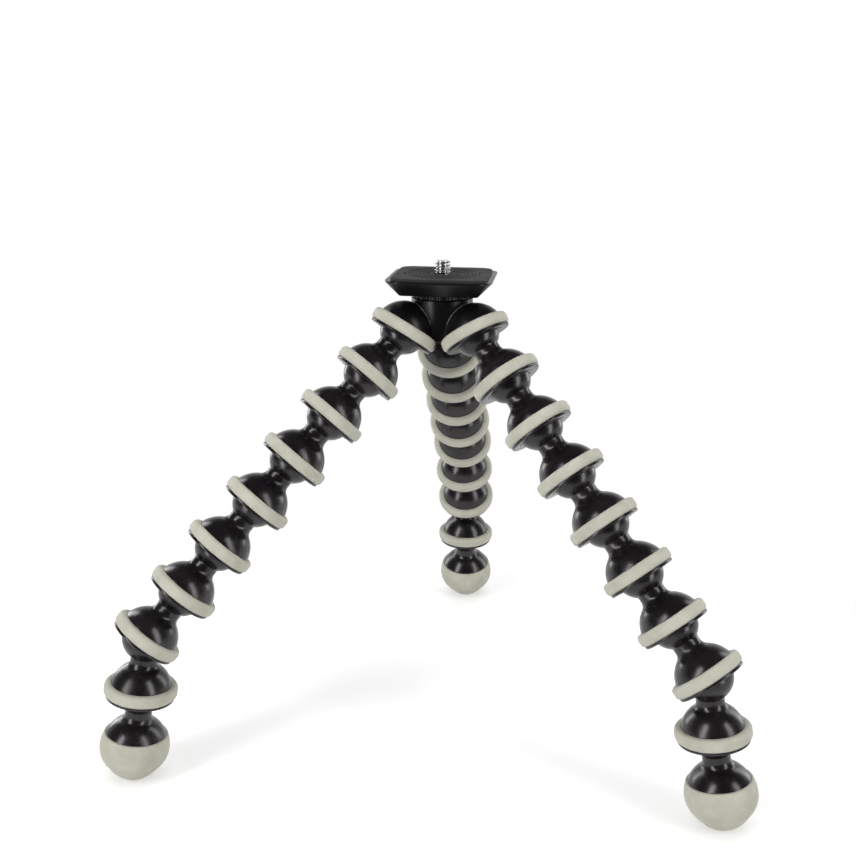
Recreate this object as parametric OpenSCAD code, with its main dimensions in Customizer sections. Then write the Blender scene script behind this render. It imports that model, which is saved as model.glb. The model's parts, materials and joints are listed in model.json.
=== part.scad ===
// Flexible leg tripod: three legs of ball-and-socket beads on a moulded hub,
// with a sliding camera plate held by a lock ring. Millimetres, +Z up.
// The origin is the centre of the camera pad's top face, and the rear leg runs along +Y.

/* [Stance] */
// Height of the hub's socket centres above the floor
stand_h = 170.5; // [155:0.5:190]
// Lean from vertical of the two shin beads: left, right and rear leg
shin_lean = [42, 43, 33]; // [20:1:50]
// Lean from vertical of the ankle bead: left, right and rear leg
ankle_lean = [9, 10, 5]; // [0:1:20]
// Lean from vertical of the foot: left, right and rear leg
foot_lean = [9, 12, 13]; // [0:1:20]

/* [Beads] */
// Number of beads in the straight thigh of a leg
thigh_beads = 5; // [4:1:5]
// Number of beads in the shin below it
shin_beads = 2; // [1:1:2]
// Diameter of the ball on each bead
ball_d = 18.4; // [16:0.2:21]
// Running gap between a ball and its socket, on the radius
ball_gap = 0.1; // [0.06:0.02:0.2]
// Wall of the dome over a socket
socket_wall = 2.7; // [2.2:0.1:4]
// Drop of a socket's mouth below the centre of its ball
mouth_drop = 2.9; // [2.9:0.1:3.6]
// Diameter of the neck between ball and dome
neck_d = 10.4; // [8:0.2:11.6]
// Length of the neck between ball and dome
neck_len = 3.6; // [3:0.1:7]
// Fillet where the neck flares into the dome
dome_fillet = 3; // [0.5:0.1:3.4]
// Fillet where the neck meets the ball
ball_fillet = 1; // [0.2:0.1:1.2]
// Wall of the socket under its grip ring
seat_wall = 1.9; // [1.4:0.1:2.1]
// Width of the lip that holds the grip ring from below
lip_w = 2; // [0.8:0.1:2.3]
// Thickness of that lip
lip_t = 1.0; // [0.7:0.1:1.1]
// Rounding of the lip's lower edge
lip_edge = 0.5; // [0.2:0.1:0.7]
// Width of the raised collar round the mouth
collar_w = 1.3; // [0.8:0.1:2]

/* [Grip rings] */
// Radial thickness of a grip ring
ring_t = 2.8; // [2:0.1:4]
// Height of a grip ring along the leg
ring_h = 4.8; // [4.4:0.1:6]
// Drop of a grip ring's lower face below the socket centre
ring_drop = 1.7; // [1.2:0.1:1.7]
// Rounding of a grip ring's outer edges
ring_edge = 1.6; // [0.8:0.1:2.1]
// Moulding gap between rubber and plastic
rubber_gap = 0.02; // [0.01:0.01:0.05]

/* [Feet] */
// Diameter of the rubber foot cap
cap_d = 26.8; // [24:0.2:32]
// Wall of the cap over the foot's core
cap_wall = 2.5; // [1.5:0.1:4]
// Step from the cap's rim in to the foot's dome
cap_step = 0.5; // [0.2:0.1:1]
// Height of the cap's rim above the cap's centre
cap_rim_h = 5.6; // [4:0.2:7]
// Radius of the cap's belly below its widest line
cap_belly = 10.5; // [7:0.5:11]
// Slope of the cap's lower flank from vertical
cap_slope = 40; // [36:1:46]
// Length of the neck between ball and foot dome
foot_neck_len = 4.2; // [3:0.1:7]

/* [Hub] */
// Tilt of the hub's sockets from vertical
socket_tilt = 34; // [28:1:40]
// Least gap between neighbouring grip rings on the hub
hub_ring_gap = 3; // [2.5:0.25:10]
// Clearance from the hub's core to the grip rings beside it
core_gap = 0.6; // [0.3:0.1:1]
// Reach of the hub's core below the socket centres
core_drop = 6.5; // [4:0.5:7]
// Height of the core's top over the domes
core_head = 0.6; // [0.2:0.2:5]

/* [Head] */
// Diameter of the camera screw, a quarter inch thread
screw_d = 6.35; // [6.35:0.01:9.53]
// Length of the camera screw above the pad
screw_len = 5; // [4:0.5:7]
// Chamfer on the camera screw's tip
screw_tip = 0.6; // [0.3:0.1:1]
// Diameter of the waist below the screw's thread
screw_waist_d = 5.2; // [4.4:0.1:5.8]
// Diameter of the screw's head
screw_head_d = 10.5; // [9:0.5:13]
// Thickness of the screw's head
screw_head_t = 1.2; // [0.9:0.1:1.3]
// Width of the coin slot in the screw's head
coin_slot_w = 1.4; // [1:0.1:2]
// Depth of the coin slot
coin_slot_t = 0.7; // [0.4:0.1:0.8]
// Web of the rail neck beside the screw head's channel
rail_web = 2.15; // [1.5:0.05:3]
// Overhang of the rail head that the plate slides on
rail_hang = 2.1; // [1.2:0.1:3]
// Thickness of the rail head
rail_head_t = 1.45; // [1.4:0.05:2.5]
// Wall of the lock ring
lock_wall = 2.15; // [1.5:0.05:4]
// Height of the lock ring
lock_h = 2.1; // [1.8:0.1:5]
// Chamfer on the lock ring's edges
lock_chamfer = 0.4; // [0.2:0.1:0.6]
// Radius of the finger flutes round the lock ring
flute_r = 1.1; // [0.6:0.1:1.3]
// Depth of those flutes
flute_t = 0.5; // [0.2:0.1:0.7]
// Number of flutes
flutes = 20; // [12:1:24]

/* [Camera plate] */
// Width of the square camera plate at its top
plate_w = 41; // [38:1:60]
// Corner radius of the plate at its top
plate_corner = 7; // [6:0.5:9]
// Upright rim above the plate's bevel
plate_rim = 0.6; // [0.4:0.1:1.5]
// Thickness of the lips that run under the rail head
plate_lip = 2.15; // [1:0.05:2.5]
// Roof of the plate over the rail head
plate_roof = 2; // [1:0.05:3]
// Thickness of the rubber pad on the plate
pad_t = 1; // [0.6:0.1:2]
// Inset of the pad from the plate's edge
pad_inset = 2; // [1:0.25:4]
// Gap between pieces of the head that slide or turn
slide_gap = 0.15; // [0.1:0.05:0.25]

/* [Hidden] */
$fn = 96;
leg_names = ["left", "right", "rear"];
leg_headings = [-150, -30, 90];
legs = [0 : 2];
bead_count = thigh_beads + shin_beads + 1;

plastic = "#221f24";
gloss_plastic = "#151416";
rubber = "#bcbcae";
pad_rubber = "#2b2a2c";
steel = "#b9babd";

// Depth to which a blend cuts into the shapes that it joins, so that their outlines cross
bite = 0.005;

// Ball, neck and socket
ball_r = ball_d / 2;
neck_r = neck_d / 2;
cavity_r = ball_r + ball_gap;
dome_r = cavity_r + socket_wall;
mouth_r = sqrt(cavity_r * cavity_r - mouth_drop * mouth_drop);
collar_r = mouth_r + collar_w;
ring_seat_r = cavity_r + seat_wall;
ring_r = ring_seat_r + ring_t;
ring_top = ring_h - ring_drop;
lip_r = ring_seat_r + lip_w;
lip_bottom = -ring_drop - lip_t;

// Height at which a neck meets a ball or dome of radius r
function neck_root(r) = sqrt(r * r - neck_r * neck_r);
pitch = neck_root(ball_r) + neck_len + neck_root(dome_r);

// Foot, with the cap's flank tangent to its belly and to the round tip
cap_r = cap_d / 2;
core_r = cap_r - cap_wall;
foot_dome_r = cap_r - cap_step;
foot_reach = neck_root(ball_r) + foot_neck_len + neck_root(foot_dome_r);
flank = (cap_r - cap_belly) * cos(cap_slope) + cap_belly;
tip_r = (flank - cap_r * sin(cap_slope)) / (1 - sin(cap_slope));
tip_drop = cap_r - tip_r;

// Head, stacked down from the pad's top face at z = 0
slot_h = rail_head_t + 2 * slide_gap;
plate_h = plate_lip + slot_h + plate_roof;
plate_top = -pad_t;
plate_bottom = plate_top - plate_h;
roof_z = plate_top - plate_roof;
lip_top = plate_bottom + plate_lip;
channel_w = screw_head_d + 4 * slide_gap;
rail_neck_r = channel_w / 2 + rail_web;
rail_head_r = rail_neck_r + rail_hang;
lock_bore_r = rail_head_r + slide_gap;
lock_r = lock_bore_r + lock_wall;
lock_top = plate_bottom - slide_gap;
lock_bottom = lock_top - lock_h;
core_top = lock_bottom - slide_gap;
socket_z = core_top - core_head - dome_r;

// Radius of the circle of hub sockets that leaves hub_ring_gap between their grip rings
ring_spread = ring_r * sqrt(0.25 + pow(cos(30) * cos(socket_tilt), 2));
ring_lift = (ring_top - ring_drop) / 2;
socket_circle_r = (hub_ring_gap / 2 + ring_spread) / cos(30) + ring_lift * sin(socket_tilt);

// Lean of a leg's thigh beads, such that its foot stands on the floor
function below_thigh(leg) =
    shin_beads * pitch * cos(shin_lean[leg])
    + pitch * cos(ankle_lean[leg])
    + (foot_reach + tip_drop) * cos(foot_lean[leg])
    + tip_r;
function thigh_lean(leg) = acos((stand_h - below_thigh(leg)) / (thigh_beads * pitch));

// Links are counted from the hub: 0 is the hub's socket, then the beads, then the foot
foot_link = bead_count + 1;
function lean(leg, link) =
    link == 0 ? socket_tilt
    : link <= thigh_beads ? thigh_lean(leg)
    : link <= thigh_beads + shin_beads ? shin_lean[leg]
    : link == bead_count ? ankle_lean[leg]
    : foot_lean[leg];
function link_len(link) = link == foot_link ? foot_reach : pitch;
function reach_out(leg, link) =
    link <= 0 ? socket_circle_r : reach_out(leg, link - 1) + link_len(link) * sin(lean(leg, link));
function reach_z(leg, link) =
    link <= 0 ? socket_z : reach_z(leg, link - 1) - link_len(link) * cos(lean(leg, link));

// Puts a link's local frame, with its axis up and its lower joint centre at the origin, on its leg
module on_link(leg, link) {
    rotate([0, 0, leg_headings[leg]])
        translate([reach_out(leg, link), 0, reach_z(leg, link)])
            rotate([0, -lean(leg, link), 0])
                children();
}

// Concave fillet from the neck out to a round body of radius r at the origin
module fillet_profile(r, fillet) {
    x = neck_r + fillet - bite;
    y = sqrt(pow(r + fillet - bite, 2) - x * x);
    difference() {
        polygon([[0, 0], [x, y], [0, y]]);
        translate([x, y])
            circle(r = fillet);
    }
}

// Ball on its neck, above a round body of radius body_r at the origin
module stem_profile(reach, body_r) {
    square([neck_r, reach]);
    fillet_profile(body_r, dome_fillet);
    translate([0, reach]) {
        mirror([0, 1])
            fillet_profile(ball_r, ball_fillet);
        intersection() {
            circle(r = ball_r);
            translate([0, -ball_r])
                square([ball_r, 2 * ball_r]);
        }
    }
}

// Lip under a grip ring, with its lower edge rounded
module lip_profile() {
    translate([0, lip_bottom])
        square([lip_r - lip_edge, lip_t]);
    intersection() {
        translate([0, lip_bottom])
            square([lip_r, lip_t]);
        union() {
            translate([0, lip_bottom + lip_edge])
                square([lip_r, lip_t]);
            translate([lip_r - lip_edge, lip_bottom + lip_edge])
                circle(r = lip_edge);
        }
    }
}

// Outside of a socket: dome, seat of the grip ring, lip and collar
module socket_profile() {
    intersection() {
        circle(r = dome_r);
        translate([0, ring_top])
            square([dome_r, dome_r]);
    }
    translate([0, -ring_drop])
        square([ring_seat_r, ring_h]);
    lip_profile();
    translate([0, -mouth_drop])
        square([collar_r, mouth_drop]);
}

// Section of a grip ring, with the moulding gap between it and its seat
module ring_profile() {
    bore = ring_seat_r + rubber_gap;
    bottom = rubber_gap - ring_drop;
    height = ring_h - 2 * rubber_gap;
    intersection() {
        translate([bore, bottom])
            square([ring_r - bore, height]);
        union() {
            translate([0, bottom])
                square([ring_r - ring_edge, height]);
            translate([0, bottom + ring_edge])
                square([ring_r, height - 2 * ring_edge]);
            for (y = [ring_edge, height - ring_edge])
                translate([ring_r - ring_edge, bottom + y])
                    circle(r = ring_edge);
        }
    }
}

module cap_outline() {
    belly_side = cap_belly - bite;
    tip_side = tip_r - bite;
    intersection() {
        circle(r = cap_r);
        square([cap_r, cap_rim_h]);
    }
    intersection() {
        translate([0, -2 * cap_r])
            square([cap_r, 2 * cap_r]);
        union() {
            translate([cap_r - cap_belly, 0])
                circle(r = cap_belly);
            translate([0, -tip_drop])
                circle(r = tip_r);
            polygon([
                [0, 0],
                [0, -tip_drop],
                [tip_side * cos(cap_slope), -tip_drop - tip_side * sin(cap_slope)],
                [cap_r - cap_belly + belly_side * cos(cap_slope), -belly_side * sin(cap_slope)],
                [cap_r - cap_belly, 0]
            ]);
        }
    }
}

// Square block with upright rounded corners
module rounded_slab(width, corner, height) {
    straight = width - 2 * corner;
    translate([-width / 2, -straight / 2, 0])
        cube([width, straight, height]);
    translate([-straight / 2, -width / 2, 0])
        cube([straight, width, height]);
    for (x = [-straight / 2, straight / 2], y = [-straight / 2, straight / 2])
        translate([x, y, 0])
            cylinder(r = corner, h = height);
}

// Square block that narrows by its own height towards the bottom, with conical corners
module bevelled_slab(width, corner, height) {
    straight = width - 2 * corner;
    top = width / 2;
    foot = top - height;
    for (turn = [0, 90])
        rotate([90, 0, turn])
            translate([0, 0, -straight / 2])
                linear_extrude(straight)
                    polygon([[-foot, 0], [foot, 0], [top, height], [-top, height]]);
    for (x = [-straight / 2, straight / 2], y = [-straight / 2, straight / 2])
        translate([x, y, 0])
            cylinder(r1 = corner - height, r2 = corner, h = height);
}

// Slot from the plate's centre out to its rear edge, for a round rail of radius r
module rail_slot(r, height) {
    cylinder(r = r, h = height);
    translate([-r, 0, 0])
        cube([2 * r, plate_w, height]);
}

module hub_core() {
    difference() {
        translate([0, 0, socket_z - core_drop])
            cylinder(r = lock_r, h = core_top - socket_z + core_drop);
        for (leg = legs)
            on_link(leg, 0)
                translate([0, 0, ring_top - 2 * dome_r])
                    cylinder(r = ring_r + core_gap, h = 2 * dome_r);
    }
}

module rail() {
    post_top = plate_bottom - slide_gap;
    head_bottom = lip_top + slide_gap;
    translate([0, 0, core_top])
        cylinder(r = rail_head_r, h = post_top - core_top);
    translate([0, 0, core_top])
        cylinder(r = rail_neck_r, h = head_bottom - core_top);
    difference() {
        translate([0, 0, head_bottom])
            cylinder(r = rail_head_r, h = rail_head_t);
        translate([-channel_w / 2, -plate_w / 2, head_bottom])
            cube([channel_w, plate_w, 2 * rail_head_t]);
    }
}

module hub_body() {
    color(gloss_plastic)
        difference() {
            union() {
                hub_core();
                rail();
                for (leg = legs)
                    on_link(leg, 0)
                        rotate_extrude()
                            socket_profile();
            }
            for (leg = legs)
                on_link(leg, 0)
                    sphere(r = cavity_r);
        }
}

module hub_grip_rings() {
    for (leg = legs)
        on_link(leg, 0)
            grip_ring();
}

module lock_ring() {
    waist = lock_h - 2 * lock_chamfer;
    color(gloss_plastic)
        translate([0, 0, lock_bottom])
            difference() {
                union() {
                    cylinder(r1 = lock_r - lock_chamfer, r2 = lock_r, h = lock_chamfer);
                    translate([0, 0, lock_chamfer])
                        cylinder(r = lock_r, h = waist);
                    translate([0, 0, lock_chamfer + waist])
                        cylinder(r1 = lock_r, r2 = lock_r - lock_chamfer, h = lock_chamfer);
                }
                translate([0, 0, -lock_h])
                    cylinder(r = lock_bore_r, h = 3 * lock_h);
                for (i = [1 : flutes])
                    rotate([0, 0, 360 * i / flutes])
                        translate([lock_r + flute_r - flute_t, 0, -lock_h])
                            cylinder(r = flute_r, h = 3 * lock_h);
            }
}

module camera_plate() {
    color(gloss_plastic)
        difference() {
            union() {
                translate([0, 0, plate_bottom])
                    bevelled_slab(plate_w, plate_corner, plate_h - plate_rim);
                translate([0, 0, plate_top - plate_rim])
                    rounded_slab(plate_w, plate_corner, plate_rim);
            }
            translate([0, 0, plate_bottom - plate_lip])
                rail_slot(rail_neck_r + slide_gap, 2 * plate_lip);
            translate([0, 0, lip_top])
                rail_slot(rail_head_r + slide_gap, slot_h);
            translate([0, 0, plate_bottom])
                cylinder(d = screw_d + 2 * slide_gap, h = 2 * plate_h);
        }
}

module plate_pad() {
    color(pad_rubber)
        translate([0, 0, plate_top])
            difference() {
                rounded_slab(plate_w - 2 * pad_inset, plate_corner - pad_inset, pad_t);
                translate([0, 0, -pad_t])
                    cylinder(d = screw_d + 4 * slide_gap, h = 3 * pad_t);
            }
}

module camera_screw() {
    head_top = roof_z - rubber_gap;
    color(steel) {
        cylinder(d = screw_d, h = screw_len - screw_tip);
        translate([0, 0, screw_len - screw_tip])
            cylinder(d1 = screw_d, d2 = screw_d - 2 * screw_tip, h = screw_tip);
        translate([0, 0, head_top])
            cylinder(d = screw_waist_d, h = -head_top);
        translate([0, 0, head_top - screw_head_t])
            difference() {
                cylinder(d = screw_head_d, h = screw_head_t);
                translate([-coin_slot_w / 2, -screw_head_d, -coin_slot_t])
                    cube([coin_slot_w, 2 * screw_head_d, 2 * coin_slot_t]);
            }
    }
}

module bead() {
    color(plastic)
        rotate_extrude()
            difference() {
                union() {
                    socket_profile();
                    stem_profile(pitch, dome_r);
                }
                circle(r = cavity_r);
            }
}

module grip_ring() {
    color(rubber)
        rotate_extrude()
            ring_profile();
}

module foot() {
    color(plastic)
        rotate_extrude() {
            intersection() {
                circle(r = foot_dome_r);
                translate([0, cap_rim_h])
                    square([foot_dome_r, foot_dome_r]);
            }
            intersection() {
                circle(r = core_r);
                translate([0, -core_r])
                    square([core_r, core_r + cap_rim_h]);
            }
            stem_profile(foot_reach, foot_dome_r);
        }
}

module foot_cap() {
    color(rubber)
        rotate_extrude()
            difference() {
                cap_outline();
                circle(r = core_r + rubber_gap);
            }
}

hub_body();
hub_grip_rings();
lock_ring();
camera_plate();
plate_pad();
camera_screw();
for (leg = legs) {
    name = leg_names[leg];
    for (i = [1 : bead_count]) {
        on_link(leg, i) bead();
        on_link(leg, i) grip_ring();
    }
    on_link(leg, foot_link) foot();
    on_link(leg, foot_link) foot_cap();
}
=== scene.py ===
"""Looks of a flexible leg tripod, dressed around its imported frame. Metres, +Z up, as in the frame."""

import json
import math

import bmesh
import bpy
from mathutils import Matrix, Vector

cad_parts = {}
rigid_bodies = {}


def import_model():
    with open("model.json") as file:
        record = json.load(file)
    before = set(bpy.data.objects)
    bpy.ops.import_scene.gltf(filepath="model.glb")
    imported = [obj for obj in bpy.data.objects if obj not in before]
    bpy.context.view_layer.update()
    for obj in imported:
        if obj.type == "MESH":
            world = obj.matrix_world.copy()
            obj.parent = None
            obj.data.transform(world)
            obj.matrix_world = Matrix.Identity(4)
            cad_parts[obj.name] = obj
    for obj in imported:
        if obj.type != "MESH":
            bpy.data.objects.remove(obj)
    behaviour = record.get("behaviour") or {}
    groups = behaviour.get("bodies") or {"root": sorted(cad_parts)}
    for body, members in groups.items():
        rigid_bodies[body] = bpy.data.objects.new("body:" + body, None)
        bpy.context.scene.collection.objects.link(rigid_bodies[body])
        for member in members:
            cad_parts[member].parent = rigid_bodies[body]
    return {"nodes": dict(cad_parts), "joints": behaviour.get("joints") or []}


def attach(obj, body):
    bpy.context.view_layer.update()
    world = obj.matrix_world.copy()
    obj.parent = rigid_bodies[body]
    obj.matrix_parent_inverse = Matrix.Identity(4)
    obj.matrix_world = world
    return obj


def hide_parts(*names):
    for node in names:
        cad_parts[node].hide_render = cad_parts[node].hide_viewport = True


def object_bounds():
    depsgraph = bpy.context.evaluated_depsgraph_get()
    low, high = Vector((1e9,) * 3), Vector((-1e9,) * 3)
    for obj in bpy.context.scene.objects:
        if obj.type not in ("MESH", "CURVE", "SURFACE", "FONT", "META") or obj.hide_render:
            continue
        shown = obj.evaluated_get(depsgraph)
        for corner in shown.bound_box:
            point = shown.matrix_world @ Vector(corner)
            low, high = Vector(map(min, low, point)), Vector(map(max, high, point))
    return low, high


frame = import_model()
cad_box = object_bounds()
nodes = frame["nodes"]
joint_of = {j["child"]: j for j in frame["joints"]}

MM = 0.001
SEGMENTS = 128

# Ball, neck and socket of a bead, in millimetres, as in the frame's solids
BALL_R = 9.2
NECK_R = 5.2
DOME_R = 12.0
CAVITY_R = 9.3
MOUTH_DROP = 2.9
COLLAR_W = 1.3
DOME_FILLET = 3.0
BALL_FILLET = 1.0
RING_SEAT_R = 11.2
LIP_R = 13.2
LIP_T = 1.0
LIP_EDGE = 0.5

# Grip ring
RING_R = 14.0
RING_H = 4.8
RING_DROP = 1.7
RING_EDGE = 1.6
RUBBER_GAP = 0.02
RING_TOP = RING_H - RING_DROP

# Foot and its cap
CAP_R = 13.4
CORE_R = 10.9
FOOT_DOME_R = 12.9
CAP_RIM_H = 5.6
CAP_BELLY = 10.5
CAP_SLOPE = 40.0
FOOT_NECK_LEN = 4.2

# Hub and head
SOCKET_TILT = 34.0
HUB_CORE_R = 12.1
SCREW_R = 3.175
SCREW_LEN = 5.0
SCREW_TIP = 0.6
SCREW_WAIST_R = 2.6
SCREW_HEAD_R = 5.25
SCREW_HEAD_T = 1.2
SCREW_HEAD_TOP = -3.02
COIN_SLOT_W = 1.4
COIN_SLOT_T = 0.7
THREAD_PITCH = 1.27
THREAD_DEPTH = 0.75
THREAD_RUN_OUT = 0.5
PAD_T = 1.0
PAD_W = 37.0
PAD_CORNER = 5.0
PAD_HOLE_R = 3.475
PAD_RIB_START = 5.4
PAD_RIB_END = 16.9
PAD_RIB_PITCH = 1.5
PAD_GROOVE_W = 0.8
PAD_GROOVE_SIDE = 0.15
PAD_GROOVE_T = 0.35
SEAM_R = 0.22
SEAM_SHARE = 0.94

# Small roundings of moulded edges
SHARP_EDGE = 0.12
SOFT_EDGE = 0.25
RUBBER_EDGE = 0.35
HUB_EDGE = 0.4

# The photograph's camera: focal length in pixels of its square frame, and its place
FRAME_PX = 856
FOCAL_PX = 1135.8
SENSOR_MM = 36.0
CAMERA_PLACE = (0.0505, -0.4408, 0.0642)
CAMERA_TURN = 7.2
CAMERA_DIP = 16.0
CAMERA_ROLL = 0.515
CLIP_START = 0.01

# Stage: floor in metres, backdrop as parts of a direction
WHITE = (1.0, 1.0, 1.0, 1.0)
FLOOR_COLOR = (0.9, 0.9, 0.9, 1.0)
FLOOR_REACH = 3.0
FLOOR_FRONT = -0.26
FLOOR_FADE = (0.14, 0.26)
FLOOR_LIFT = 0.35
ROOM_COLOR = (0.05, 0.05, 0.052, 1.0)
BACKDROP_SIDE = (-0.1, 0.7)
BACKDROP_HEIGHT = (0.75, 0.15)

# Lamps: name, place, width, height, watts, whether it lights the object, whether it shows in reflections
LAMP_TARGET = (0.0, 0.0, -0.1)
LAMPS = (
    ("left_softbox", (-1.1, -1.3, 0.3), 0.5, 2.4, 28.0, True, True),
    ("right_softbox", (1.45, -0.85, 0.3), 0.5, 2.4, 20.0, True, True),
    ("left_panel", (-0.75, 0.55, 0.1), 0.25, 1.2, 4.0, False, True),
    ("right_panel", (0.75, 0.55, 0.1), 0.25, 1.2, 3.0, False, True),
    ("top_softbox", (0.0, 0.1, 1.2), 1.6, 1.6, 12.0, True, False),
)

# Meshes
SHARP_TURN = 40.0
MERGE_MM = 1e-5
SCREW_SEGMENTS = 96
PAD_SEGMENTS = 192

# Materials, and the sockets of a colour Mix node
PLASTIC_TINT = (1.0, 0.96, 0.97, 1.0)
NOISE_SHIFT = 40.0
BEVEL_SAMPLES = 8
MIX_FACTOR = 0
MIX_A = 6
MIX_B = 7
MIX_RESULT = 2


# Outlines: points are (radius, height, rounding), in millimetres

def neck_root(r):
    """Height at which a neck meets a ball or dome of radius r."""
    return math.sqrt(r ** 2 - NECK_R ** 2)


def arc(center, radius, start, end, steps):
    """Points on an arc between two angles in degrees, counted from the outward direction."""
    points = []
    for i in range(steps + 1):
        a = math.radians(start + (end - start) * i / steps)
        points.append((center[0] + radius * math.cos(a), center[1] + radius * math.sin(a), 0.0))
    return points


def soften(outline, closed):
    """The outline with each corner that has a rounding replaced by a small curve."""
    steps = 4
    least_angle = 0.2
    most_share = 0.45
    out = []
    count = len(outline)
    for i, (r, z, rounding) in enumerate(outline):
        inner = closed or 0 < i < count - 1
        if not rounding or not inner:
            out.append((r, z))
            continue
        here = Vector((r, z))
        before = Vector(outline[i - 1][:2]) - here
        after = Vector(outline[(i + 1) % count][:2]) - here
        reach = rounding / math.tan(max(before.angle(after), least_angle) / 2)
        start = here + before.normalized() * min(reach, most_share * before.length)
        end = here + after.normalized() * min(reach, most_share * after.length)
        for k in range(steps + 1):
            t = k / steps
            out.append(tuple((1 - t) ** 2 * start + 2 * t * (1 - t) * here + t * t * end))
    return out


def stem_outline(reach, body_r):
    """Ball, neck and flare above a round body at the origin, from the axis down to the body."""
    ball_x = NECK_R + BALL_FILLET
    ball_y = reach - math.sqrt((BALL_R + BALL_FILLET) ** 2 - ball_x ** 2)
    flare_x = NECK_R + DOME_FILLET
    flare_y = math.sqrt((body_r + DOME_FILLET) ** 2 - flare_x ** 2)
    ball_turn = math.degrees(math.atan2(ball_y - reach, ball_x))
    body_turn = math.degrees(math.atan2(flare_y, flare_x))
    outline = arc((0, reach), BALL_R, 90, ball_turn, steps=48)
    outline += arc((ball_x, ball_y), BALL_FILLET, ball_turn + 180, 180, steps=6)
    outline += arc((flare_x, flare_y), DOME_FILLET, 180, body_turn + 180, steps=12)
    return outline, body_turn


def bead_outline(pitch):
    """One moulding: ball, neck, dome, seat of the grip ring, lip, collar and socket."""
    lip_bottom = -RING_DROP - LIP_T
    mouth_r = math.sqrt(CAVITY_R ** 2 - MOUTH_DROP ** 2)
    shoulder = math.degrees(math.asin(RING_TOP / DOME_R))
    mouth_turn = -math.degrees(math.asin(MOUTH_DROP / CAVITY_R))
    outline, body_turn = stem_outline(pitch, DOME_R)
    outline += arc((0, 0), DOME_R, body_turn, shoulder, steps=20)[1:-1]
    outline += [
        (DOME_R * math.cos(math.radians(shoulder)), RING_TOP, SOFT_EDGE),
        (RING_SEAT_R, RING_TOP, 0),
        (RING_SEAT_R, -RING_DROP, 0),
        (LIP_R, -RING_DROP, SHARP_EDGE),
    ]
    outline += arc((LIP_R - LIP_EDGE, lip_bottom + LIP_EDGE), LIP_EDGE, 0, -90, steps=8)
    outline += [
        (mouth_r + COLLAR_W, lip_bottom, 0),
        (mouth_r + COLLAR_W, -MOUTH_DROP, SHARP_EDGE),
        (mouth_r, -MOUTH_DROP, SHARP_EDGE),
    ]
    outline += arc((0, 0), CAVITY_R, mouth_turn, 90, steps=36)[1:]
    return soften(outline, closed=False)


def ring_outline():
    """Grip ring: a band with full round edges."""
    bore = RING_SEAT_R + RUBBER_GAP
    bottom = RUBBER_GAP - RING_DROP
    top = RING_TOP - RUBBER_GAP
    edge_r = RING_R - RING_EDGE
    outline = [(bore, bottom, SHARP_EDGE)]
    outline += arc((edge_r, bottom + RING_EDGE), RING_EDGE, -90, 0, steps=12)
    outline += arc((edge_r, top - RING_EDGE), RING_EDGE, 0, 90, steps=12)
    outline += [(bore, top, SHARP_EDGE)]
    return soften(outline, closed=True)


def foot_outline(reach):
    """Ball, neck, dome and the round core that the rubber cap sits on."""
    rim = math.degrees(math.asin(CAP_RIM_H / FOOT_DOME_R))
    core = math.degrees(math.asin(CAP_RIM_H / CORE_R))
    outline, body_turn = stem_outline(reach, FOOT_DOME_R)
    outline += arc((0, 0), FOOT_DOME_R, body_turn, rim, steps=18)[1:-1]
    outline += [(FOOT_DOME_R * math.cos(math.radians(rim)), CAP_RIM_H, SOFT_EDGE)]
    outline += arc((0, 0), CORE_R, core, -90, steps=32)
    return soften(outline, closed=False)


def cap_outline():
    """Rubber cap: round tip, sloped flank, belly and a rim that stands proud of the foot's dome."""
    slope = math.radians(CAP_SLOPE)
    flank = (CAP_R - CAP_BELLY) * math.cos(slope) + CAP_BELLY
    tip_r = (flank - CAP_R * math.sin(slope)) / (1 - math.sin(slope))
    bore = CORE_R + RUBBER_GAP
    rim = math.degrees(math.asin(CAP_RIM_H / CAP_R))
    core = math.degrees(math.asin(CAP_RIM_H / bore))
    outline = arc((0, tip_r - CAP_R), tip_r, -90, -CAP_SLOPE, steps=20)
    outline += arc((CAP_R - CAP_BELLY, 0), CAP_BELLY, -CAP_SLOPE, 0, steps=20)
    outline += arc((0, 0), CAP_R, 0, rim, steps=12)[1:-1]
    outline += [(CAP_R * math.cos(math.radians(rim)), CAP_RIM_H, RUBBER_EDGE)]
    outline += arc((0, 0), bore, core, -90, steps=32)
    return soften(outline, closed=False)


# Meshes

def finish_mesh(name, bm):
    """A mesh in metres from a bmesh in millimetres, smooth except at sharp edges."""
    bmesh.ops.remove_doubles(bm, verts=bm.verts, dist=MERGE_MM)
    bmesh.ops.recalc_face_normals(bm, faces=bm.faces)
    bmesh.ops.scale(bm, vec=(MM, MM, MM), verts=bm.verts)
    mesh = bpy.data.meshes.new(name)
    bm.to_mesh(mesh)
    bm.free()
    mesh.shade_smooth()
    mesh.set_sharp_from_angle(angle=math.radians(SHARP_TURN))
    return mesh


def lathe(name, outline, closed, segments=SEGMENTS, radius=None):
    """Mesh of an outline turned about the axis. An open outline starts and ends on the axis.

    radius(r, z, a), where given, is the outline's own radius at the angle a.
    """
    bm = bmesh.new()
    on_axis = 1e-6
    turns = [2 * math.pi * i / segments for i in range(segments)]
    rows = []
    for r, z in outline:
        if r < on_axis:
            rows.append([bm.verts.new((0, 0, z))] * segments)
            continue
        row = []
        for a in turns:
            reach = radius(r, z, a) if radius else r
            row.append(bm.verts.new((reach * math.cos(a), reach * math.sin(a), z)))
        rows.append(row)
    pairs = list(zip(rows, rows[1:]))
    if closed:
        pairs.append((rows[-1], rows[0]))
    for a, b in pairs:
        for i in range(segments):
            k = (i + 1) % segments
            corners = list(dict.fromkeys([a[i], a[k], b[k], b[i]]))
            bm.faces.new(corners)
    return finish_mesh(name, bm)


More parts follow.
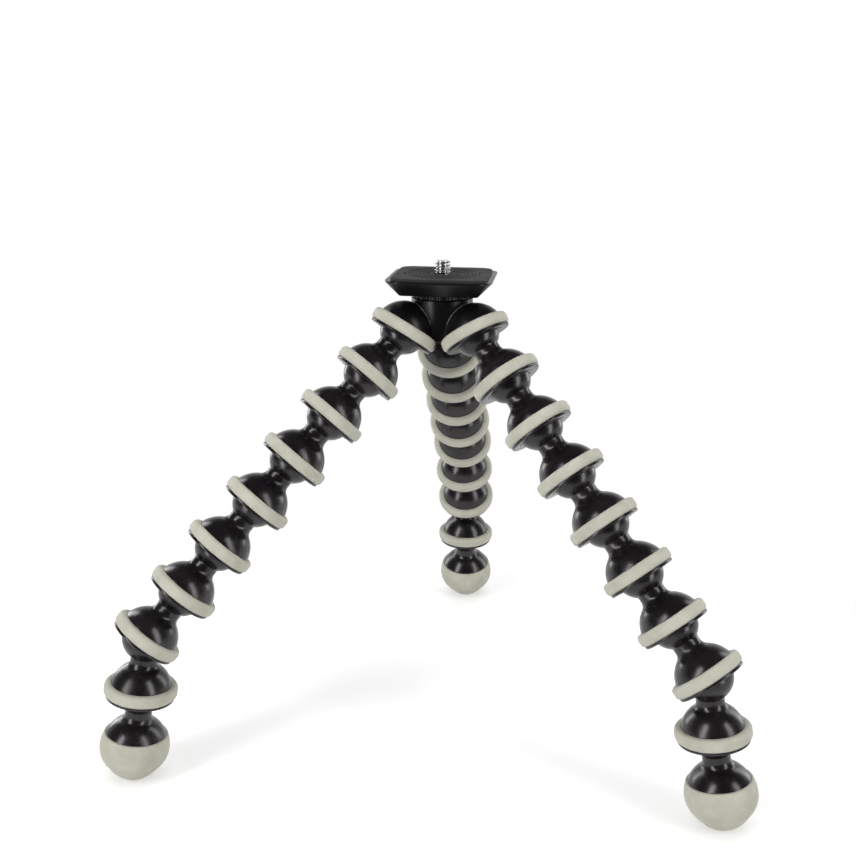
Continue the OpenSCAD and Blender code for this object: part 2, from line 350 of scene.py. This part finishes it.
def carved(mesh, cutter):
    """The mesh with the cutter's shape taken out of it."""
    body = bpy.data.objects.new("carve_body", mesh)
    tool = bpy.data.objects.new("carve_tool", cutter)
    for obj in (body, tool):
        bpy.context.scene.collection.objects.link(obj)
    cut = body.modifiers.new("cut", "BOOLEAN")
    cut.object = tool
    cut.solver = "EXACT"
    result = bpy.data.meshes.new_from_object(body.evaluated_get(bpy.context.evaluated_depsgraph_get()))
    for obj in (body, tool):
        bpy.data.objects.remove(obj)
    result.name = mesh.name
    return result


def thread_radius(r, z, a):
    """Radius of a right-handed V thread on the screw's shank, which runs out at the waist and the tip."""
    if z <= 0:
        return r
    crest_flat = 1 / 16
    root_flat = 1 / 8
    phase = (z / THREAD_PITCH - a / (2 * math.pi)) % 1
    off_crest = abs(phase - 0.5)
    slope = (off_crest - crest_flat) / (0.5 - crest_flat - root_flat)
    depth = THREAD_DEPTH * min(max(slope, 0), 1)
    tip = SCREW_R - max(0, z - SCREW_LEN + SCREW_TIP)
    run_out = SCREW_WAIST_R + (SCREW_R - SCREW_WAIST_R) * min(1, z / THREAD_RUN_OUT)
    return min(SCREW_R - depth, tip, run_out)


def screw_mesh():
    """Camera screw: slotted head, waist and threaded shank."""
    head_bottom = SCREW_HEAD_TOP - SCREW_HEAD_T
    rows = 110
    outline = [
        (0, head_bottom, 0),
        (SCREW_HEAD_R, head_bottom, SHARP_EDGE),
        (SCREW_HEAD_R, SCREW_HEAD_TOP, SHARP_EDGE),
        (SCREW_WAIST_R, SCREW_HEAD_TOP, 0),
    ]
    outline += [(SCREW_WAIST_R, SCREW_LEN * i / rows, 0) for i in range(rows + 1)]
    outline += [(0, SCREW_LEN, 0)]
    outline = soften(outline, closed=False)
    screw = lathe("camera_screw", outline, closed=False, segments=SCREW_SEGMENTS, radius=thread_radius)
    bm = bmesh.new()
    size = Matrix.Diagonal((COIN_SLOT_W, 3 * SCREW_HEAD_R, 2 * COIN_SLOT_T, 1))
    bmesh.ops.create_cube(bm, matrix=Matrix.Translation((0, 0, head_bottom)) @ size)
    return carved(screw, finish_mesh("coin_slot", bm))


def pad_edge(r, z, a):
    """Outline of the pad: round near the screw, and a rounded square at its edge."""
    if r < PAD_RIB_END:
        return r
    half = PAD_W / 2
    near = half - PAD_CORNER
    most = max(abs(math.cos(a)), abs(math.sin(a)))
    least = min(abs(math.cos(a)), abs(math.sin(a)))
    edge = half / most
    if edge * least > near:
        both = near * (most + least)
        edge = both + math.sqrt(both ** 2 - 2 * near ** 2 + PAD_CORNER ** 2)
    return edge - (half - r)


def pad_mesh():
    """Rubber pad with round grip ribs about the camera screw."""
    outline = [(PAD_HOLE_R, -PAD_T, 0), (PAD_HOLE_R, 0, SOFT_EDGE)]
    ribs = int((PAD_RIB_END - PAD_RIB_START) / PAD_RIB_PITCH)
    for i in range(ribs):
        r = PAD_RIB_START + i * PAD_RIB_PITCH
        outline += [
            (r, 0, SHARP_EDGE),
            (r + PAD_GROOVE_SIDE, -PAD_GROOVE_T, SHARP_EDGE),
            (r + PAD_GROOVE_W - PAD_GROOVE_SIDE, -PAD_GROOVE_T, SHARP_EDGE),
            (r + PAD_GROOVE_W, 0, SHARP_EDGE),
        ]
    half = PAD_W / 2
    outline += [(half, 0, RUBBER_EDGE), (half, -PAD_T, 0)]
    outline = soften(outline, closed=True)
    return lathe("plate_pad", outline, closed=True, segments=PAD_SEGMENTS, radius=pad_edge)


def hub_seam_points(socket):
    """Points where the hub's round core meets the dome of a socket, in metres."""
    center = socket.translation / MM
    out = math.hypot(center.x, center.y)
    heading = math.atan2(center.y, center.x)
    widest = math.acos((HUB_CORE_R ** 2 + out ** 2 - DOME_R ** 2) / (2 * HUB_CORE_R * out))
    steps = 64
    points = []
    for i in range(steps + 1):
        a = widest * (2 * i / steps - 1) * SEAM_SHARE
        flat = HUB_CORE_R ** 2 + out ** 2 - 2 * HUB_CORE_R * out * math.cos(a)
        z = center.z + math.sqrt(max(DOME_R ** 2 - flat, 0))
        spot = Vector((HUB_CORE_R * math.cos(heading + a), HUB_CORE_R * math.sin(heading + a), z))
        points.append(spot * MM)
    return points


def bead_line(name, points, radius_mm):
    """A fine round line of plastic along some points."""
    data = bpy.data.curves.new(name, "CURVE")
    data.dimensions = "3D"
    data.bevel_depth = radius_mm * MM
    data.bevel_resolution = 3
    data.use_fill_caps = True
    spline = data.splines.new("POLY")
    spline.points.add(len(points) - 1)
    for slot, spot in zip(spline.points, points):
        slot.co = (*spot, 1)
    line = bpy.data.objects.new(name, data)
    bpy.context.scene.collection.objects.link(line)
    return line


# Material helpers

class Shader:
    """A node material with one Principled shader, and short ways to add nodes to it."""

    def __init__(self, name, **sockets):
        self.material = bpy.data.materials.new(name)
        self.material.use_nodes = True
        self.tree = self.material.node_tree
        self.bsdf = self.tree.nodes["Principled BSDF"]
        for key, value in sockets.items():
            self.bsdf.inputs[key.replace("_", " ")].default_value = value

    def add(self, kind, settings=None, **inputs):
        node = self.tree.nodes.new("ShaderNode" + kind)
        for key, value in (settings or {}).items():
            setattr(node, key, value)
        for key, value in inputs.items():
            self.feed(value, node.inputs[key.replace("_", " ")])
        return node

    def feed(self, value, socket):
        if isinstance(value, bpy.types.NodeSocket):
            self.tree.links.new(value, socket)
        else:
            socket.default_value = value

    def noise(self, scale, detail=4.0, roughness=0.55, stretch=(1, 1, 1)):
        """Noise in the piece's own space, different on each piece. Scale is per metre."""
        place = self.add("TexCoord").outputs["Object"]
        spread = self.add("Mapping", Vector=place, Scale=stretch)
        chance = self.add("ObjectInfo").outputs["Random"]
        shift = self.maths("MULTIPLY", chance, NOISE_SHIFT)
        node = self.add("TexNoise", {"noise_dimensions": "4D"}, Vector=spread.outputs[0], W=shift,
                        Scale=scale, Detail=detail, Roughness=roughness)
        return node.outputs["Fac"]

    def remap(self, value, low, high, to_low=0.0, to_high=1.0, smooth=True):
        settings = {"interpolation_type": "SMOOTHSTEP" if smooth else "LINEAR"}
        node = self.add("MapRange", settings, Value=value)
        for key, amount in (("From Min", low), ("From Max", high), ("To Min", to_low), ("To Max", to_high)):
            self.feed(amount, node.inputs[key])
        return node.outputs["Result"]

    def maths(self, operation, a, b):
        node = self.add("Math", {"operation": operation})
        self.feed(a, node.inputs[0])
        self.feed(b, node.inputs[1])
        return node.outputs[0]

    def blend(self, fac, a, b):
        node = self.add("Mix", {"data_type": "RGBA"})
        self.feed(fac, node.inputs[MIX_FACTOR])
        self.feed(a, node.inputs[MIX_A])
        self.feed(b, node.inputs[MIX_B])
        return node.outputs[MIX_RESULT]

    def bump(self, height, strength, distance):
        node = self.add("Bump", Height=height, Strength=strength, Distance=distance)
        if self.bsdf.inputs["Normal"].is_linked:
            self.feed(self.bsdf.inputs["Normal"].links[0].from_socket, node.inputs["Normal"])
        self.feed(node.outputs["Normal"], self.bsdf.inputs["Normal"])

    def set(self, key, value):
        self.feed(value, self.bsdf.inputs[key])


def rgb(r, g, b):
    return (r, g, b, 1.0)


def moulded_plastic(name, dark, light, gloss, dull, shine=0.5, edge=0.0):
    """Black moulded plastic: cloudy tone, faint orange peel, rubbed patches and soft edges."""
    s = Shader(name, IOR=1.5, Specular_IOR_Level=shine, Specular_Tint=PLASTIC_TINT)
    cloud = s.noise(60.0, detail=3.0)
    rubbed = s.noise(260.0, detail=5.0, roughness=0.65, stretch=(1.0, 1.0, 0.35))
    grain = s.noise(2600.0, detail=2.0)
    s.set("Base Color", s.blend(s.remap(cloud, 0.35, 0.7), dark, light))
    wear = s.remap(rubbed, 0.45, 0.75)
    s.set("Roughness", s.remap(wear, 0.0, 1.0, gloss, dull, smooth=False))
    if edge:
        s.set("Normal", s.add("Bevel", {"samples": BEVEL_SAMPLES}, Radius=edge * MM).outputs["Normal"])
    s.bump(grain, strength=0.06, distance=0.00005)
    return s.material


def grip_rubber(name):
    """Warm grey soft rubber: mottled, a little stained, with a fine matt grain."""
    s = Shader(name, Sheen_Weight=0.08, Sheen_Roughness=0.5, IOR=1.45)
    mottle = s.noise(170.0, detail=5.0, roughness=0.6)
    stain = s.noise(45.0, detail=3.0)
    grain = s.noise(5200.0, detail=2.0, roughness=0.7)
    tone = s.blend(s.remap(mottle, 0.3, 0.72), rgb(0.46, 0.455, 0.375), rgb(0.55, 0.54, 0.46))
    s.set("Base Color", s.blend(s.remap(stain, 0.52, 0.8, 0.0, 0.35), tone, rgb(0.37, 0.36, 0.29)))
    s.set("Roughness", s.remap(mottle, 0.3, 0.7, 0.62, 0.78))
    s.bump(grain, strength=0.25, distance=0.00006)
    return s.material


def pad_rubber(name):
    """Black matt rubber of the camera pad."""
    s = Shader(name, IOR=1.45)
    cloud = s.noise(120.0, detail=4.0)
    grain = s.noise(4200.0, detail=2.0, roughness=0.7)
    s.set("Base Color", s.blend(cloud, rgb(0.018, 0.018, 0.019), rgb(0.032, 0.031, 0.033)))
    s.set("Roughness", s.remap(cloud, 0.3, 0.7, 0.62, 0.8))
    s.bump(grain, strength=0.3, distance=0.00008)
    return s.material


def plated_steel(name):
    """Bright plated steel with fine turning marks."""
    s = Shader(name, Metallic=1.0)
    turned = s.noise(900.0, detail=3.0, roughness=0.6, stretch=(0.05, 0.05, 3.0))
    s.set("Base Color", s.blend(turned, rgb(0.56, 0.56, 0.57), rgb(0.72, 0.72, 0.72)))
    s.set("Roughness", s.remap(turned, 0.3, 0.7, 0.2, 0.34))
    s.bump(turned, strength=0.1, distance=0.00003)
    return s.material


# Places

def link_matrix(body):
    """Place of a leg piece: its origin at its own joint centre or foot centre, its axis towards the hub."""
    joint = joint_of[body]
    ball = Vector(joint["pos_m"])
    below = [j for j in frame["joints"] if j["parent"] == body]
    if below:
        origin = Vector(below[0]["pos_m"])
        up = (ball - origin).normalized()
    else:
        side = Vector((-ball.y, ball.x, 0)).normalized()
        up = Vector(joint["axis"]).cross(side).normalized()
        origin = ball - up * foot_reach * MM
    return stand_up(origin, up)


def hub_socket_matrix(leg):
    """Place of one of the hub's sockets, with its axis tilted in towards the hub."""
    origin = Vector(joint_of[f"{leg}_link_1"]["pos_m"])
    inward = -Vector((origin.x, origin.y, 0)).normalized()
    tilt = math.radians(SOCKET_TILT)
    return stand_up(origin, inward * math.sin(tilt) + Vector((0, 0, math.cos(tilt))))


def stand_up(origin, up):
    side = up.cross(Vector((0, 0, 1))).normalized()
    axes = Matrix((side, up.cross(side), up)).transposed().to_4x4()
    return Matrix.Translation(origin) @ axes


def piece(name, mesh, matrix, material, body, node):
    """One object that stands for a node of the frame and rides on its body."""
    obj = bpy.data.objects.new(name, mesh)
    bpy.context.scene.collection.objects.link(obj)
    if not mesh.materials:
        mesh.materials.append(material)
    obj.matrix_world = matrix
    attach(obj, body)
    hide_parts(node)


def ball_gap_to_next(body):
    """Distance from a body's ball to the next ball down the leg, in millimetres."""
    below = next(j for j in frame["joints"] if j["parent"] == body)
    return (Vector(joint_of[body]["pos_m"]) - Vector(below["pos_m"])).length / MM


LEGS = ("left", "right", "rear")
BEADS = 8
pitch = ball_gap_to_next("left_link_1")
foot_reach = neck_root(BALL_R) + FOOT_NECK_LEN + neck_root(FOOT_DOME_R)

bead_plastic = moulded_plastic(
    "bead_plastic", dark=rgb(0.006, 0.005, 0.006), light=rgb(0.012, 0.01, 0.0115), gloss=0.23, dull=0.38)
# Painted shade: a darker copy of the bead plastic with weaker reflections, standing in for the shade a
# camera on the plate casts on the hub
hub_plastic = moulded_plastic(
    "hub_plastic", dark=rgb(0.003, 0.003, 0.0033), light=rgb(0.006, 0.006, 0.0066), gloss=0.28, dull=0.4,
    shine=0.25, edge=HUB_EDGE)
# Painted highlight: the seam lines are mid grey, far lighter than the black hub, standing in for the
# highlight its creases catch
seam_painted_highlight = moulded_plastic(
    "hub_seam", dark=rgb(0.1, 0.1, 0.1), light=rgb(0.2, 0.2, 0.2), gloss=0.3, dull=0.4)
rubber = grip_rubber("grip_rubber")
black_rubber = pad_rubber("pad_rubber")
steel = plated_steel("screw_steel")

# Legs

bead_mesh = lathe("bead", bead_outline(pitch), closed=False)
ring_mesh = lathe("grip_ring", ring_outline(), closed=True)
foot_mesh = lathe("foot", foot_outline(foot_reach), closed=False)
cap_mesh = lathe("foot_cap", cap_outline(), closed=False)

for leg in LEGS:
    socket = hub_socket_matrix(leg)
    piece(f"{leg}_hub_ring_skin", ring_mesh, socket, rubber, "hub", "hub_grip_rings")
    for i in range(1, BEADS + 1):
        body = f"{leg}_link_{i}"
        place = link_matrix(body)
        bead = f"{leg}_bead_{i}"
        ring = f"{leg}_grip_ring_{i}"
        piece(f"{bead}_skin", bead_mesh, place, bead_plastic, body, bead)
        piece(f"{ring}_skin", ring_mesh, place, rubber, body, ring)
    body = f"{leg}_foot_link"
    place = link_matrix(body)
    piece(f"{leg}_foot_skin", foot_mesh, place, bead_plastic, body, f"{leg}_foot")
    piece(f"{leg}_foot_cap_skin", cap_mesh, place, rubber, body, f"{leg}_foot_cap")

# Hub and head

# Painted shade: the hub, lock ring and plate wear the darker, less reflective copy of the black plastic
for name in ("hub_body", "lock_ring", "camera_plate"):
    nodes[name].data.materials.clear()
    nodes[name].data.materials.append(hub_plastic)

rest = Matrix.Identity(4)
piece("plate_pad_skin", pad_mesh(), rest, black_rubber, "plate", "plate_pad")
piece("camera_screw_skin", screw_mesh(), rest, steel, "screw", "camera_screw")
for leg in LEGS:
    # Fine lines along the hub's creases, coloured with the painted highlight
    seam = bead_line(f"{leg}_hub_seam", hub_seam_points(hub_socket_matrix(leg)), SEAM_R)
    seam.data.materials.append(seam_painted_highlight)
    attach(seam, "hub")

# Floor, studio light and the photograph's camera

def studio_floor(height):
    """A pale floor that keeps the object's shadow and fades to white further out."""
    bm = bmesh.new()
    bmesh.ops.create_grid(bm, x_segments=1, y_segments=1, size=FLOOR_REACH)
    for corner in bm.verts:
        corner.co.y = max(corner.co.y, FLOOR_FRONT)
    mesh = bpy.data.meshes.new("floor")
    bm.to_mesh(mesh)
    bm.free()
    floor = bpy.data.objects.new("floor", mesh)
    floor.location = (0, 0, height)
    bpy.context.scene.collection.objects.link(floor)
    s = Shader("floor", Roughness=0.9, Base_Color=FLOOR_COLOR, Specular_IOR_Level=0.0)
    light = s.add("LightPath").outputs
    seen = s.maths("MAXIMUM", light["Is Camera Ray"], light["Is Glossy Ray"])
    seen = s.maths("MAXIMUM", seen, light["Is Transmission Ray"])
    place = s.add("TexCoord").outputs["Object"]
    away = s.add("VectorMath", {"operation": "LENGTH"})
    s.feed(place, away.inputs[0])
    far = s.maths("MULTIPLY", s.remap(away.outputs["Value"], *FLOOR_FADE), seen)
    lift = s.add("Emission", Color=WHITE, Strength=s.maths("MULTIPLY", seen, FLOOR_LIFT))
    near = s.add("AddShader")
    s.feed(s.bsdf.outputs[0], near.inputs[0])
    s.feed(lift.outputs[0], near.inputs[1])
    backdrop = s.add("Emission", Color=WHITE, Strength=1.0)
    mix = s.add("MixShader")
    s.feed(far, mix.inputs[0])
    s.feed(near.outputs[0], mix.inputs[1])
    s.feed(backdrop.outputs[0], mix.inputs[2])
    s.feed(mix.outputs[0], s.tree.nodes["Material Output"].inputs["Surface"])
    mesh.materials.append(s.material)


def studio_world():
    """White to the eye; to the object, a white backdrop behind it and a dim room above and in front."""
    world = bpy.data.worlds.new("studio")
    world.use_nodes = True
    bpy.context.scene.world = world
    tree = world.node_tree
    add = tree.nodes.new
    link = tree.links.new
    background = tree.nodes["Background"]
    place = add("ShaderNodeTexCoord")
    parts = add("ShaderNodeSeparateXYZ")
    link(place.outputs["Generated"], parts.inputs[0])
    behind = add("ShaderNodeMapRange")
    behind.interpolation_type = "SMOOTHSTEP"
    behind.inputs["From Min"].default_value = BACKDROP_SIDE[0]
    behind.inputs["From Max"].default_value = BACKDROP_SIDE[1]
    link(parts.outputs["Y"], behind.inputs["Value"])
    low = add("ShaderNodeMapRange")
    low.interpolation_type = "SMOOTHSTEP"
    low.inputs["From Min"].default_value = BACKDROP_HEIGHT[0]
    low.inputs["From Max"].default_value = BACKDROP_HEIGHT[1]
    link(parts.outputs["Z"], low.inputs["Value"])
    shade = add("ShaderNodeMath")
    shade.operation = "MULTIPLY"
    link(behind.outputs[0], shade.inputs[0])
    link(low.outputs[0], shade.inputs[1])
    room = add("ShaderNodeMix")
    room.data_type = "RGBA"
    room.inputs[MIX_A].default_value = ROOM_COLOR
    room.inputs[MIX_B].default_value = WHITE
    link(shade.outputs[0], room.inputs[MIX_FACTOR])
    light = add("ShaderNodeLightPath")
    seen = add("ShaderNodeMath")
    seen.operation = "MAXIMUM"
    link(light.outputs["Is Camera Ray"], seen.inputs[0])
    link(light.outputs["Is Transmission Ray"], seen.inputs[1])
    final = add("ShaderNodeMix")
    final.data_type = "RGBA"
    final.inputs[MIX_B].default_value = WHITE
    link(seen.outputs[0], final.inputs[MIX_FACTOR])
    link(room.outputs[MIX_RESULT], final.inputs[MIX_A])
    link(final.outputs[MIX_RESULT], background.inputs["Color"])
    background.inputs["Strength"].default_value = 1.0


def softbox(name, place, width, height, watts, lights, mirrored):
    """An even rectangular lamp that lights the object, shows in its reflections, or both."""
    light = bpy.data.lights.new(name, "AREA")
    light.shape = "RECTANGLE"
    light.size = width
    light.size_y = height
    light.energy = watts
    lamp = bpy.data.objects.new(name, light)
    bpy.context.scene.collection.objects.link(lamp)
    lamp.location = place
    lamp.visible_camera = False
    lamp.visible_diffuse = lights
    lamp.visible_glossy = mirrored
    aim = Vector(LAMP_TARGET) - Vector(place)
    lamp.rotation_euler = aim.to_track_quat("-Z", "Y").to_euler()


def photo_camera():
    data = bpy.data.cameras.new("photo_camera")
    data.sensor_width = SENSOR_MM
    data.lens = SENSOR_MM * FOCAL_PX / FRAME_PX
    data.clip_start = CLIP_START
    camera = bpy.data.objects.new("photo_camera", data)
    bpy.context.scene.collection.objects.link(camera)
    turn = Matrix.Rotation(math.radians(CAMERA_TURN), 4, "Z")
    dip = Matrix.Rotation(math.radians(90 - CAMERA_DIP), 4, "X")
    roll = Matrix.Rotation(math.radians(CAMERA_ROLL), 4, "Z")
    camera.matrix_world = Matrix.Translation(CAMERA_PLACE) @ turn @ dip @ roll
    bpy.context.scene.camera = camera


studio_floor(cad_box[0].z)
studio_world()
for lamp in LAMPS:
    softbox(*lamp)
photo_camera()
bpy.context.scene.view_settings.view_transform = "Standard"
